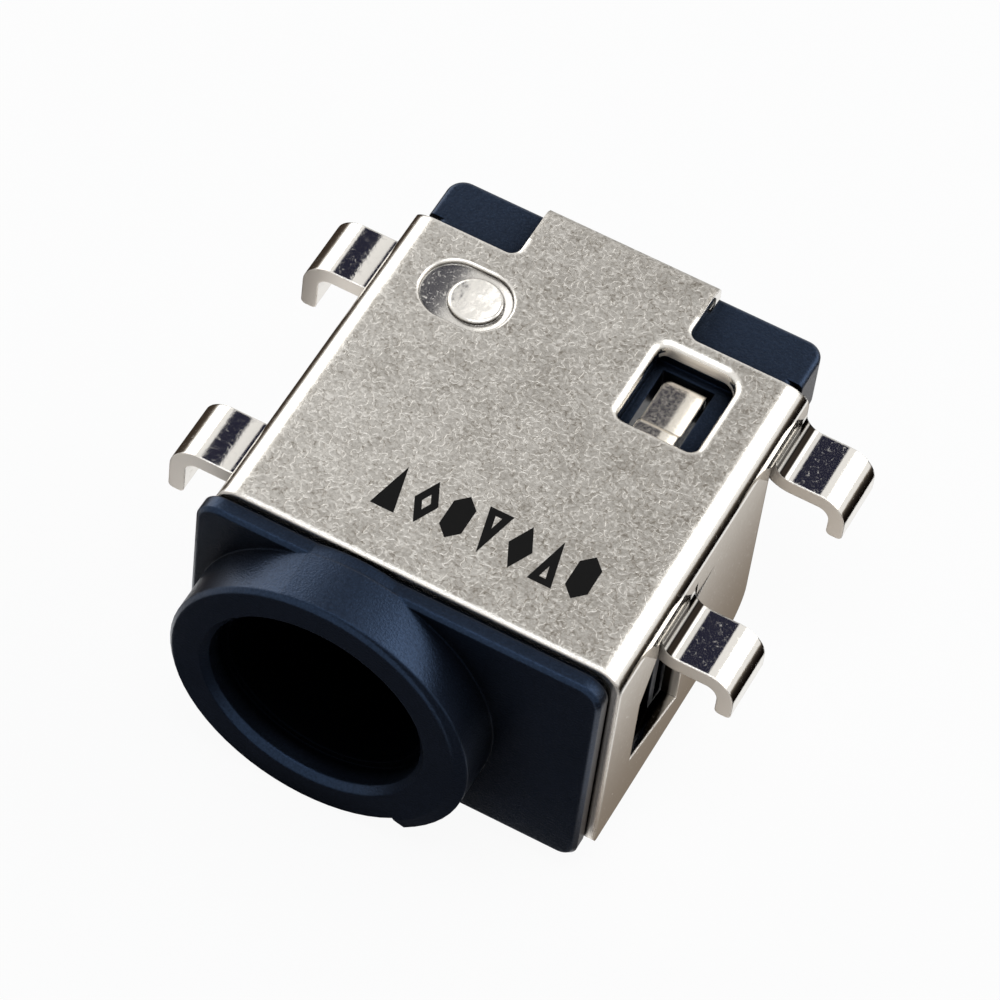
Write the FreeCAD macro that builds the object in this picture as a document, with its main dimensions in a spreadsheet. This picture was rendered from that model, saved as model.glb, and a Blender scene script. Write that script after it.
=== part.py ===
"""Shielded barrel power jack that hangs in a cut-out of a circuit board.

Frame: the origin is the centre of the plug bore's mouth.  The bore runs along +Y, into the
jack, X is across the jack and Z is up, away from the board.  All sizes are in millimetres.
"""
import FreeCAD, Part
import os
import re
import Sketcher

# Driving sizes: name, value, what it measures
SIZES = (
    ("bore_radius", 3.0, "plug bore at the mouth, for a 5.5 mm barrel"),
    ("mouth_depth", 0.8, "length of the mouth before the bore steps in"),
    ("mouth_chamfer", 0.18, "lead-in chamfer of the mouth"),
    ("throat_radius", 2.8, "plug bore behind the step"),
    ("bore_depth", 9.0, "mouth to the floor of the bore"),
    ("collar_length", 1.45, "collar in front of the flange"),
    ("collar_core", 4.09, "collar beside the band"),
    ("face_radius", 3.98, "flat front face of the collar"),
    ("face_edge", 0.12, "depth of the bevel round the front face"),
    ("band_shift", 0.18, "middle of the thicker band, off the bore axis"),
    ("band_aim", 58.0, "way the band is shifted, in degrees below +X"),
    ("band_bevel", 0.38, "width of the bevel round the front of the band"),
    ("band_up", 107.0, "upper end of the band, in degrees above +X"),
    ("band_down", 50.0, "lower end of the band, in degrees below +X"),
    ("flange_depth", 0.46, "thickness of the front flange"),
    ("flange_left", -4.29, "left edge of the flange"),
    ("flange_right", 6.99, "right edge of the flange"),
    ("flange_top", 3.93, "upper edge of the flange"),
    ("flange_top_radius", 0.65, "upper corners of the flange"),
    ("flange_low_radius", 0.5, "lower corners of the flange"),
    ("flange_bevel", 0.1, "bevel round the front of the flange"),
    ("shell_gap", 0.09, "flange to the front edge of the shell"),
    ("body_centre", 1.6, "middle of the body, right of the bore axis"),
    ("body_bottom", -3.42, "underside of the moulding"),
    ("body_rear", 10.4, "back of the deep part that sits in the cut-out"),
    ("body_edge", 0.3, "rounded upper edges of the moulding inside the shell"),
    ("overhang_gap", 0.1, "overhang above the board"),
    ("block_front", 12.65, "front of the two rear corner blocks"),
    ("block_inset", 0.28, "blocks inside the shell's outer faces"),
    ("rear_end", 14.1, "back of the rear corner blocks"),
    ("rear_corner_radius", 0.5, "upright corners of the rear blocks"),
    ("rear_top_radius", 0.15, "upper edges of the rear blocks"),
    ("fit_gap", 0.05, "clearance between the moulding and the metal"),
    ("sheet", 0.45, "shell sheet"),
    ("bend_radius", 0.7, "outside radius of the shell's bends"),
    ("shell_width", 11.3, "over the side walls"),
    ("shell_top", 4.2, "top face of the shell"),
    ("wall_bottom", -3.15, "lower edge of the side walls"),
    ("plate_rear", 12.18, "back of the top plate beside the tongue"),
    ("wall_rear", 12.6, "back of the side walls above the board"),
    ("wall_slope_z", 3.2, "height where the rear edge of the wall starts to slope"),
    ("wall_heel_radius", 1.0, "lower rear corner of the walls"),
    ("wall_toe_radius", 0.2, "lower front corner of the walls"),
    ("tongue_centre", 1.4, "middle of the rear tongue"),
    ("tongue_width", 4.9, "rear tongue"),
    ("tongue_rear", 14.25, "outer face of the folded tongue"),
    ("tongue_bend", 0.5, "outside radius of the tongue's fold"),
    ("tongue_end", 2.35, "lower end of the folded tongue"),
    ("notch_radius", 0.3, "corners between the tongue and the plate"),
    ("board_top", 1.9, "board face that the hooks sit on"),
    ("hook_width", 1.8, "hook along the wall"),
    ("right_reach", 2.1, "right wall to the outside of its hooks"),
    ("left_reach", 2.17, "left wall to the outside of its hooks"),
    ("right_tip", 1.0, "lower ends of the right hooks' legs"),
    ("left_tip", 0.6, "lower ends of the left hooks' legs"),
    ("hook_root_radius", 0.5, "inside radius where the hook leaves the wall"),
    ("hook_elbow_radius", 0.8, "outside radius above the leg"),
    ("hook_tip_radius", 0.15, "corners of the leg's end"),
    ("right_hook", 4.45, "front edge of the right front hook"),
    ("right_pitch", 6.35, "right front hook to right rear hook"),
    ("left_hook", 3.68, "front edge of the left front hook"),
    ("left_pitch", 6.9, "left front hook to left rear hook"),
    ("rear_relief", 0.35, "wall's lower rear edge in front of the rear hook"),
    ("lance_side", 0.15, "slit between a hook and its window"),
    ("lance_front", 0.85, "window in front of the hook"),
    ("lance_above", 0.1, "window above the hook's bend"),
    ("lance_slope_low", 1.1, "where the window's front corner starts to slope"),
    ("lance_low_front", -1.4, "lower front corner of the side window"),
    ("lance_low_rear", -2.15, "lower rear corner of the side window"),
    ("relief_length", 1.0, "relief slit behind the hook, which narrows to a point"),
    ("relief_drop", 0.24, "lower edge of the slit at the hook, below the hook's top"),
    ("relief_rise", 0.08, "upper edge of the slit, above the hook's top"),
    ("hole_left", 3.4, "left edge of the window in the top plate"),
    ("hole_width", 2.25, "window in the top plate, across"),
    ("hole_front", 9.05, "front edge of the window in the top plate"),
    ("hole_length", 2.65, "window in the top plate, along"),
    ("hole_coin", 0.2, "coined edge of that window"),
    ("hole_corner", 0.25, "corners of that window"),
    ("hole_far_corner", 0.5, "its rear right corner"),
    ("dimple_x", -1.55, "middle of the stamped oval, across"),
    ("dimple_y", 10.42, "middle of the stamped oval, along"),
    ("dimple_long", 2.45, "oval, long way"),
    ("dimple_short", 1.9, "oval, short way"),
    ("dimple_end_radius", 0.9, "rounded ends of the oval"),
    ("dimple_depth", 0.12, "oval below the plate"),
    ("dimple_rim", 0.08, "rounded rims of the oval and the boss"),
    ("boss_radius", 0.72, "round boss in the oval"),
    ("boss_shift", 0.28, "boss right of the oval's middle"),
    ("ledge_drop", 0.25, "ledge below the top of the moulding"),
    ("strip", 0.3, "contact strip"),
    ("strip_bend", 0.29, "outside radius of the tight folds of the contacts"),
    ("carrier_right", 4.95, "right face of the sleeve contact's upright plate"),
    ("carrier_front", 5.0, "front of the upright plate"),
    ("carrier_deep_rear", 9.95, "back of the upright plate below the board"),
    ("carrier_rear", 11.3, "back of the upright plate above the board"),
    ("carrier_low", -1.4, "lower edge of the upright plate"),
    ("tab_top", 3.4, "top of the folded tab seen in the window"),
    ("tab_left", 3.8, "free edge of the tab"),
    ("tab_front", 9.85, "where the tab steps up"),
    ("tab_step", 0.2, "height of that step"),
    ("tab_step_end", 8.5, "front of the raised part, below the plate"),
    ("tab_corner", 0.25, "rear corners of the tab"),
    ("arm_low", 2.1, "lower edge of the sleeve contact's arm"),
    ("arm_high", 3.0, "upper edge of the sleeve contact's arm"),
    ("tail_rear", 12.95, "back of the sleeve contact's tail"),
    ("tail_width", 0.8, "solder tails"),
    ("tail_tip", 1.0, "lower end of the solder tails"),
    ("hairpin_front", 4.2, "front of the fold between the plate and the leaf"),
    ("hairpin_radius", 0.6, "outside corners of that fold"),
    ("leaf_height", 1.8, "sleeve spring leaf"),
    ("leaf_left", 3.45, "left face of the leaf at the fold"),
    ("leaf_bulge", 2.55, "nearest point of the leaf to the bore axis"),
    ("leaf_bulge_y", 6.9, "place of that point along the bore"),
    ("leaf_bend", 1.2, "bend of the leaf at that point"),
    ("leaf_lip", 3.1, "left face of the leaf's free end"),
    ("leaf_end", 8.8, "free end of the leaf"),
    ("cavity_left", 3.65, "left wall of the contact cavity"),
    ("cavity_right", 5.1, "right wall of the contact cavity"),
    ("cavity_front", 4.0, "front of the contact cavity"),
    ("cavity_deep_rear", 10.05, "back of the cavity below the board"),
    ("cavity_rear", 11.45, "back of the cavity above the board"),
    ("cavity_low", -1.6, "floor of the contact cavity"),
    ("leaf_slot_left", 2.3, "slot that lets the leaf into the bore"),
    ("leaf_slot_rear", 9.05, "back of that slot"),
    ("leaf_slot_height", 2.1, "height of that slot"),
    ("pin_radius", 1.25, "centre pin, for a 2.5 mm plug"),
    ("pin_tip", 2.8, "tip of the centre pin behind the mouth"),
    ("pin_nose", 0.5, "length of the taper at the pin's tip"),
    ("pin_nose_radius", 0.75, "flat end of the pin"),
    ("pin_shoulder", 1.6, "radius of the shoulder on the bore's floor"),
    ("pin_shoulder_length", 0.35, "thickness of the shoulder"),
    ("pin_neck", 0.8, "radius of the neck through the rear wall"),
    ("pin_clearance", 0.02, "gap round the neck"),
    ("rivet_radius", 1.2, "riveted head behind the terminal"),
    ("rivet_length", 0.35, "thickness of the riveted head"),
    ("eye_radius", 1.5, "round eye of the pin terminal"),
    ("arm_width", 1.0, "arm of the pin terminal"),
    ("arm_top", 2.85, "top of the arm in the overhang"),
    ("arm_rear", 12.6, "back of the arm, where the tail turns down"),
    ("rib_recess", 0.3, "recess in the moulding behind a side window"),
    ("rib_width", 0.3, "ribs in that recess"),
    ("rib_pitch", 1.2, "spacing of those ribs"),
)

doc = FreeCAD.newDocument("barrel_power_jack")
sheet = doc.addObject("Spreadsheet::Sheet", "Sizes")
for row, (name, value, what) in enumerate(SIZES, start=1):
    sheet.set(f"A{row}", name)
    sheet.set(f"B{row}", str(value))
    sheet.set(f"C{row}", what)
    sheet.setAlias(f"B{row}", name)
doc.recompute()

# Sizes that follow from the driving ones, as formulas in their names
FLANGE_REAR = "(collar_length + flange_depth)"
SHELL_FRONT = "(collar_length + flange_depth + shell_gap)"
WALL_LEFT = "(body_centre - shell_width / 2)"
WALL_RIGHT = "(body_centre + shell_width / 2)"
BODY_LEFT = f"({WALL_LEFT} + sheet + fit_gap)"
BODY_RIGHT = f"({WALL_RIGHT} - sheet - fit_gap)"
BODY_TOP = "(shell_top - sheet)"
BLOCK_LEFT = f"({WALL_LEFT} + block_inset)"
BLOCK_RIGHT = f"({WALL_RIGHT} - block_inset)"
BAND_RADIUS = "(collar_core + band_shift)"
OVERHANG_LOW = "(board_top + overhang_gap)"
HOOK_TOP = "(board_top + sheet)"
LANCE_TOP = f"({HOOK_TOP} + hook_root_radius + lance_above)"
TONGUE_LEFT = "(tongue_centre - tongue_width / 2)"
TONGUE_RIGHT = "(tongue_centre + tongue_width / 2)"
HOLE_RIGHT = "(hole_left + hole_width)"
HOLE_REAR = "(hole_front + hole_length)"
CARRIER_LEFT = "(carrier_right - strip)"
EYE_REAR = "(body_rear + strip)"

# Origin plane for outlines drawn across each axis, and the way its normal points
PLANES = {"x": ("YZ_Plane", 1), "y": ("XZ_Plane", -1), "z": ("XY_Plane", 1)}

working = doc.addObject("Spreadsheet::Sheet", "Working")
known = {}


def in_cells(formula):
    """The formula with each size name, but no function's, pointing at its cell in the sheet."""
    return re.sub(r"[a-z]\w*\b(?!\()", lambda word: "Sizes." + word.group(), formula)


def number(formula):
    """The formula's value, worked out in a cell of a sheet of its own."""
    if formula not in known:
        working.set("A1", f"={in_cells(formula)}")
        working.recompute()
        known[formula] = float(working.get("A1"))
    return known[formula]


def new_body(name):
    body = doc.addObject("PartDesign::Body", name)
    body.Label = name
    return body


def new_sketch(body, name, plane, offset="0", across="0"):
    """An empty sketch on an origin plane, shifted along the plane's normal and along X."""
    support = [item for item in body.Origin.OriginFeatures if item.Role == plane][0]
    sketch = body.newObject("Sketcher::SketchObject", name)
    sketch.AttachmentSupport = (support, [""])
    sketch.MapMode = "FlatFace"
    sketch.setExpression("AttachmentOffset.Base.z", in_cells(offset))
    sketch.setExpression("AttachmentOffset.Base.x", in_cells(across))
    return sketch


def place_point(sketch, item, point, across, up):
    """Ties a point of the sketch to a place given by two formulas."""
    for kind, formula in (("DistanceX", across), ("DistanceY", up)):
        index = sketch.addConstraint(Sketcher.Constraint(kind, -1, 1, item, point, 0.0))
        sketch.setExpression(f"Constraints[{index}]", in_cells(formula))


def add_outline(sketch, corners):
    """A closed outline of straight lines through corners given as pairs of formulas."""
    first = sketch.GeometryCount
    count = len(corners)
    places = [FreeCAD.Vector(number(across), number(up), 0) for across, up in corners]
    for index in range(count):
        line = Part.LineSegment(places[index], places[(index + 1) % count])
        sketch.addGeometry(line, False)
    for index, (across, up) in enumerate(corners):
        after = first + (index + 1) % count
        sketch.addConstraint(Sketcher.Constraint("Coincident", first + index, 2, after, 1))
        place_point(sketch, first + index, 1, across, up)


def add_circle(sketch, across, up, radius):
    centre = FreeCAD.Vector(number(across), number(up), 0)
    circle = Part.Circle(centre, FreeCAD.Vector(0, 0, 1), number(radius))
    item = sketch.addGeometry(circle, False)
    place_point(sketch, item, 3, across, up)
    index = sketch.addConstraint(Sketcher.Constraint("Radius", item, number(radius)))
    sketch.setExpression(f"Constraints[{index}]", in_cells(radius))


def rectangle(left, right, low, high):
    return [(left, low), (right, low), (right, high), (left, high)]


def block(body, kind, name, axis, start, end, outlines, circles=()):
    """A pad or pocket from start to end along an axis, of outlines in the other two axes."""
    plane, sense = PLANES[axis]
    sketch = new_sketch(body, f"{name}_outline", plane, f"{sense} * ({start})")
    for corners in outlines:
        add_outline(sketch, corners)
    for circle in circles:
        add_circle(sketch, *circle)
    feature = body.newObject(f"PartDesign::{kind}", name)
    feature.Profile = sketch
    feature.setExpression("Length", in_cells(f"{end} - ({start})"))
    feature.Reversed = (sense < 0) == (kind == "Pad")
    sketch.Visibility = False
    doc.recompute()
    return feature


def turned(body, kind, name, corners, angles=None, axis=("0", "0")):
    """A revolution or groove about an axis along Y of corners given as (radius, along)."""
    sketch = new_sketch(body, f"{name}_outline", "XY_Plane", axis[1], axis[0])
    add_outline(sketch, corners)
    feature = body.newObject(f"PartDesign::{kind}", name)
    feature.Profile = sketch
    feature.ReferenceAxis = (sketch, ["V_Axis"])
    if angles:
        feature.Type = "TwoAngles"
        feature.setExpression("Angle", in_cells(angles[0]))
        feature.setExpression("Angle2", in_cells(angles[1]))
    else:
        feature.Angle = 360.0
    sketch.Visibility = False
    doc.recompute()
    return feature


def edges_within(feature, x=None, y=None, z=None):
    """Names of the edges of a feature that lie wholly inside a box of formulas."""
    limits = []
    for wanted in (x, y, z):
        low, high = wanted if isinstance(wanted, tuple) else (wanted, wanted)
        if wanted is None:
            low, high = "-100", "100"
        limits.append((number(low) - 0.001, number(high) + 0.001))
    names = []
    for index, edge in enumerate(feature.Shape.Edges, start=1):
        box = edge.BoundBox
        spans = ((box.XMin, box.XMax), (box.YMin, box.YMax), (box.ZMin, box.ZMax))
        if all(low <= least and most <= high for (least, most), (low, high) in zip(spans, limits)):
            names.append(f"Edge{index}")
    return names


def soften(kind, feature, name, edges, size):
    """A fillet or chamfer of named edges of a feature."""
    if not edges:
        raise RuntimeError(f"{name} found no edge")
    softened = feature.getParentGeoFeatureGroup().newObject(f"PartDesign::{kind}", name)
    softened.Base = (feature, edges)
    softened.setExpression("Radius" if kind == "Fillet" else "Size", in_cells(size))
    doc.recompute()
    if "Invalid" in softened.State or "Error" in softened.State:
        raise RuntimeError(f"{name} can't be made")
    return softened


# The shell: one sheet, folded down over the moulding.  First the plate with its two walls
shell = new_body("shield_shell")
channel = block(
    shell, "Pad", "channel", "y", SHELL_FRONT, "wall_rear",
    [[
        (WALL_LEFT, "wall_bottom"), (f"{WALL_LEFT} + sheet", "wall_bottom"),
        (f"{WALL_LEFT} + sheet", BODY_TOP), (f"{WALL_RIGHT} - sheet", BODY_TOP),
        (f"{WALL_RIGHT} - sheet", "wall_bottom"), (WALL_RIGHT, "wall_bottom"),
        (WALL_RIGHT, "shell_top"), (WALL_LEFT, "shell_top"),
    ]],
)
outer_bends = edges_within(channel, x=WALL_LEFT, z="shell_top")
outer_bends += edges_within(channel, x=WALL_RIGHT, z="shell_top")
channel = soften("Fillet", channel, "outer_bends", outer_bends, "bend_radius")
inner_bends = edges_within(channel, x=f"{WALL_LEFT} + sheet", z=BODY_TOP)
inner_bends += edges_within(channel, x=f"{WALL_RIGHT} - sheet", z=BODY_TOP)
channel = soften("Fillet", channel, "inner_bends", inner_bends, "bend_radius - sheet")

# The walls seen from the side: upper rear edge sloped, lower part cut short
block(
    shell, "Pocket", "wall_slope", "x", WALL_LEFT, WALL_RIGHT,
    [[
        ("plate_rear", "shell_top"), ("wall_rear", "wall_slope_z"),
        ("wall_rear + 1", "wall_slope_z"), ("wall_rear + 1", "shell_top + 1"),
        ("plate_rear", "shell_top + 1"),
    ]],
)
for side, start, end in (
    ("left", WALL_LEFT, f"{WALL_LEFT} + sheet"), ("right", f"{WALL_RIGHT} - sheet", WALL_RIGHT),
):
    hook = f"{side}_hook"
    low_rear = f"{hook} + {side}_pitch - rear_relief"
    block(
        shell, "Pocket", f"{side}_low_rear", "x", start, end,
        [rectangle(low_rear, "wall_rear + 1", "wall_bottom - 1", LANCE_TOP)],
    )
    # The window that the front hook is lanced from, with a relief slit behind it
    window_front = f"{hook} - lance_front"
    window_rear = f"{hook} + hook_width + lance_side"
    cut = block(
        shell, "Pocket", f"{side}_window", "x", start, end,
        [[
            (window_front, "lance_low_front"), (window_rear, "lance_low_rear"),
            (window_rear, f"{HOOK_TOP} - relief_drop"),
            (f"{window_rear} + relief_length", f"{HOOK_TOP} + relief_rise"),
            (window_rear, f"{HOOK_TOP} + relief_rise"),
            (window_rear, LANCE_TOP), (f"{hook} - lance_side", LANCE_TOP),
            (f"{hook} - lance_side", HOOK_TOP), (window_front, "lance_slope_low"),
        ]],
    )
    toe = edges_within(cut, x=(start, end), y=SHELL_FRONT, z="wall_bottom")
    cut = soften("Fillet", cut, f"{side}_toe", toe, "wall_toe_radius")
    heel = edges_within(cut, x=(start, end), y=low_rear, z="wall_bottom")
    soften("Fillet", cut, f"{side}_heel", heel, "wall_heel_radius")

# The tongue behind the plate, folded down over the moulding's back
tongue = block(
    shell, "Pad", "tongue", "x", TONGUE_LEFT, TONGUE_RIGHT,
    [[
        ("plate_rear - 1", BODY_TOP), ("tongue_rear - sheet", BODY_TOP),
        ("tongue_rear - sheet", "tongue_end"), ("tongue_rear", "tongue_end"),
        ("tongue_rear", "shell_top"), ("plate_rear - 1", "shell_top"),
    ]],
)
fold = edges_within(tongue, y="tongue_rear", z="shell_top")
tongue = soften("Fillet", tongue, "tongue_outer_bend", fold, "tongue_bend")
fold = edges_within(tongue, y="tongue_rear - sheet", z=BODY_TOP)
tongue = soften("Fillet", tongue, "tongue_inner_bend", fold, "tongue_bend - sheet")
notches = []
for corner_x in (TONGUE_LEFT, TONGUE_RIGHT):
    notches += edges_within(
        tongue, x=corner_x, y=("plate_rear", "wall_rear"), z=(BODY_TOP, "shell_top"),
    )
soften("Fillet", tongue, "notch_corners", notches, "notch_radius")

# Four hooks: each leaves its wall in a bend, runs out over the board and turns down
for side, wall, inner, sense in (
    ("left", WALL_LEFT, f"{WALL_LEFT} + sheet", "-"),
    ("right", WALL_RIGHT, f"{WALL_RIGHT} - sheet", "+"),
):
    outside = f"{wall} {sense} {side}_reach"
    leg_inside = f"{wall} {sense} ({side}_reach - sheet)"
    for place, start in (("front", f"{side}_hook"), ("rear", f"{side}_hook + {side}_pitch")):
        hooks = block(
            shell, "Pad", f"{side}_{place}_hook", "y", start, f"{start} + hook_width",
            [[
                (inner, f"{LANCE_TOP} + sheet / 2"), (inner, "board_top"),
                (leg_inside, "board_top"), (leg_inside, f"{side}_tip"),
                (outside, f"{side}_tip"), (outside, HOOK_TOP), (wall, HOOK_TOP),
                (wall, f"{LANCE_TOP} + sheet / 2"),
            ]],
        )
for label, across, up, radius in (
    ("hook_roots", "0", HOOK_TOP, "hook_root_radius"),
    ("hook_root_backs", "-sheet", "board_top", "hook_root_radius + sheet"),
    ("hook_elbows", "{side}_reach", HOOK_TOP, "hook_elbow_radius"),
    ("hook_elbow_backs", "{side}_reach - sheet", "board_top", "hook_elbow_radius - sheet"),
    ("hook_tips", "{side}_reach", "{side}_tip", "hook_tip_radius"),
    ("hook_tip_backs", "{side}_reach - sheet", "{side}_tip", "hook_tip_radius"),
):
    bends = []
    for side, wall, sense in (("left", WALL_LEFT, "-"), ("right", WALL_RIGHT, "+")):
        place = f"{wall} {sense} ({across.format(side=side)})"
        bends += edges_within(hooks, x=place, z=up.format(side=side))
    hooks = soften("Fillet", hooks, label, bends, radius)

# The window in the top plate, its upper edge coined over
hole = block(
    shell, "Pocket", "plate_window", "z", BODY_TOP, "shell_top",
    [rectangle("hole_left", HOLE_RIGHT, "hole_front", HOLE_REAR)],
)
SHEET_SPAN = (BODY_TOP, "shell_top")
far_corner = edges_within(hole, x=HOLE_RIGHT, y=HOLE_REAR, z=SHEET_SPAN)
hole = soften("Fillet", hole, "window_far_corner", far_corner, "hole_far_corner")
corners = edges_within(hole, x="hole_left", y="hole_front", z=SHEET_SPAN)
corners += edges_within(hole, x="hole_left", y=HOLE_REAR, z=SHEET_SPAN)
corners += edges_within(hole, x=HOLE_RIGHT, y="hole_front", z=SHEET_SPAN)
hole = soften("Fillet", hole, "window_corners", corners, "hole_corner")
rim = edges_within(
    hole, x=("hole_left", HOLE_RIGHT), y=("hole_front", HOLE_REAR), z="shell_top",
)
soften("Fillet", hole, "window_coin", rim, "hole_coin")

# The stamped oval with a round boss left standing in it
OVAL_LEFT = "dimple_x - dimple_long / 2"
OVAL_RIGHT = "dimple_x + dimple_long / 2"
OVAL_FRONT = "dimple_y - dimple_short / 2"
OVAL_REAR = "dimple_y + dimple_short / 2"
oval = block(
    shell, "Pocket", "stamped_oval", "z", "shell_top - dimple_depth", "shell_top",
    [rectangle(OVAL_LEFT, OVAL_RIGHT, OVAL_FRONT, OVAL_REAR)],
    [("dimple_x + boss_shift", "dimple_y", "boss_radius")],
)
ends = []
for corner_x in (OVAL_LEFT, OVAL_RIGHT):
    for corner_y in (OVAL_FRONT, OVAL_REAR):
        ends += edges_within(oval, x=corner_x, y=corner_y)
oval = soften("Fillet", oval, "oval_ends", ends, "dimple_end_radius")
rims = edges_within(
    oval, x=(OVAL_LEFT, OVAL_RIGHT), y=(OVAL_FRONT, OVAL_REAR), z="shell_top",
)
soften("Fillet", oval, "dimple_rims", rims, "dimple_rim")

# The moulding: body with the overhang behind it, then the blocks, flange and collar
housing = new_body("insulator_housing")
core = block(
    housing, "Pad", "core", "x", BODY_LEFT, BODY_RIGHT,
    [[
        (FLANGE_REAR, "body_bottom"), ("body_rear", "body_bottom"),
        ("body_rear", OVERHANG_LOW), ("rear_end", OVERHANG_LOW), ("rear_end", BODY_TOP),
        (FLANGE_REAR, BODY_TOP),
    ]],
)
upper_edges = edges_within(core, x=BODY_LEFT, z=BODY_TOP)
upper_edges += edges_within(core, x=BODY_RIGHT, z=BODY_TOP)
soften("Fillet", core, "core_edges", upper_edges, "body_edge")
blocks = block(
    housing, "Pad", "rear_blocks", "z", OVERHANG_LOW, BODY_TOP,
    [rectangle(BLOCK_LEFT, BLOCK_RIGHT, "block_front", "rear_end")],
)
uprights = edges_within(blocks, x=BLOCK_LEFT, y="rear_end", z=(OVERHANG_LOW, BODY_TOP))
uprights += edges_within(blocks, x=BLOCK_RIGHT, y="rear_end", z=(OVERHANG_LOW, BODY_TOP))
blocks = soften("Fillet", blocks, "block_corners", uprights, "rear_corner_radius")
brim = edges_within(blocks, y=("block_front + 0.1", "rear_end"), z=BODY_TOP)
soften("Fillet", blocks, "block_brim", brim, "rear_top_radius")
flange = block(
    housing, "Pad", "flange", "y", "collar_length", FLANGE_REAR,
    [rectangle("flange_left", "flange_right", "body_bottom", "flange_top")],
)
for label, height, radius in (
    ("flange_top_corners", "flange_top", "flange_top_radius"),
    ("flange_low_corners", "body_bottom", "flange_low_radius"),
):
    corners = []
    for corner_x in ("flange_left", "flange_right"):
        corners += edges_within(
            flange, x=corner_x, y=("collar_length", FLANGE_REAR), z=height,
        )
    flange = soften("Fillet", flange, label, corners, radius)
front_edges = edges_within(flange, y="collar_length")
flange = soften("Chamfer", flange, "flange_front_bevel", front_edges, "flange_bevel")

# The collar, with a band on its right side that stands proud and dies away over the top
turned(
    housing, "Revolution", "collar",
    [
        ("0", "0"), ("face_radius", "0"), ("collar_core", "face_edge"),
        ("collar_core", FLANGE_REAR), ("0", FLANGE_REAR),
    ],
)
turned(
    housing, "Revolution", "collar_band",
    [
        ("bore_radius + mouth_chamfer", "0"), (f"{BAND_RADIUS} - band_bevel", "0"),
        (BAND_RADIUS, "face_edge"), (BAND_RADIUS, "collar_length + flange_bevel"),
        ("bore_radius + mouth_chamfer", "collar_length + flange_bevel"),
    ],
    angles=("band_down", "band_up"),
    axis=("band_shift * cos(band_aim)", "-band_shift * sin(band_aim)"),
)

# The plug bore
turned(
    housing, "Groove", "bore",
    [
        ("0", "-face_edge"), ("bore_radius + mouth_chamfer", "-face_edge"),
        ("bore_radius + mouth_chamfer", "0"), ("bore_radius", "mouth_chamfer"),
        ("bore_radius", "mouth_depth"), ("throat_radius", "mouth_depth"),
        ("throat_radius", "bore_depth"), ("0", "bore_depth"),
    ],
)
block(
    housing, "Pocket", "neck_hole", "y", "bore_depth", "body_rear",
    [], [("0", "0", "pin_neck + pin_clearance")],
)

# Room for the contacts: cavity, slot into the bore, tunnels for the two tails
block(
    housing, "Pocket", "cavity", "z", "cavity_low", BODY_TOP,
    [rectangle("cavity_left", "cavity_right", "cavity_front", "cavity_deep_rear")],
)
block(
    housing, "Pocket", "cavity_back", "z", OVERHANG_LOW, BODY_TOP,
    [rectangle("cavity_left", "cavity_right", "cavity_front", "cavity_rear")],
)
block(
    housing, "Pocket", "ledge", "z", f"{BODY_TOP} - ledge_drop", BODY_TOP,
    [rectangle("hole_left", HOLE_RIGHT, "hole_front", HOLE_REAR)],
)
block(
    housing, "Pocket", "leaf_slot", "x", "leaf_slot_left", "cavity_left",
    [rectangle("cavity_front", "leaf_slot_rear", "-leaf_slot_height / 2",
               "leaf_slot_height / 2")],
)
block(
    housing, "Pocket", "sleeve_tail_tunnel", "z", OVERHANG_LOW, "arm_high + fit_gap",
    [rectangle(f"{CARRIER_LEFT} - fit_gap", "carrier_right + fit_gap", "cavity_rear",
               "tail_rear + fit_gap")],
)
block(
    housing, "Pocket", "pin_tail_channel", "z", OVERHANG_LOW, "arm_top + fit_gap",
    [rectangle("-arm_width / 2 - fit_gap", "arm_width / 2 + fit_gap", "body_rear",
               "arm_rear + fit_gap")],
)
RECESS_FRONT = "(tongue_rear - sheet - fit_gap)"
recess = block(
    housing, "Pocket", "tongue_recess", "y", RECESS_FRONT, "rear_end",
    [rectangle(f"{TONGUE_LEFT} - fit_gap", f"{TONGUE_RIGHT} + fit_gap",
               "tongue_end - fit_gap", BODY_TOP)],
)
fold = edges_within(recess, y=RECESS_FRONT, z=BODY_TOP)
soften("Fillet", recess, "tongue_seat", fold, "body_edge")

# Shallow recesses with upright ribs behind the two side windows
for side, start, end, hook in (
    ("left", BODY_LEFT, f"{BODY_LEFT} + rib_recess", "left_hook"),
    ("right", f"{BODY_RIGHT} - rib_recess", BODY_RIGHT, "right_hook"),
):
    recess_front = f"{hook} - lance_front"
    recess_rear = f"{hook} + hook_width + lance_side"
    block(
        housing, "Pocket", f"{side}_recess", "x", start, end,
        [rectangle(recess_front, recess_rear, "lance_low_rear", LANCE_TOP)],
    )
    block(
        housing, "Pad", f"{side}_ribs", "x", start, end,
        [
            rectangle(f"{recess_front} + {place} * rib_pitch - rib_width",
                      f"{recess_front} + {place} * rib_pitch",
                      "lance_low_rear", LANCE_TOP)
            for place in (1, 2)
        ],
    )

# Centre pin, turned, with a shoulder on the bore's floor and a riveted head at the back
pin = new_body("centre_pin")
turned(
    pin, "Revolution", "pin_profile",
    [
        ("0", "pin_tip"), ("pin_nose_radius", "pin_tip"), ("pin_radius", "pin_tip + pin_nose"),
        ("pin_radius", "bore_depth - pin_shoulder_length"),
        ("pin_shoulder", "bore_depth - pin_shoulder_length"), ("pin_shoulder", "bore_depth"),
        ("pin_neck", "bore_depth"), ("pin_neck", EYE_REAR), ("rivet_radius", EYE_REAR),
        ("rivet_radius", f"{EYE_REAR} + rivet_length"), ("0", f"{EYE_REAR} + rivet_length"),
    ],
)

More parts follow.
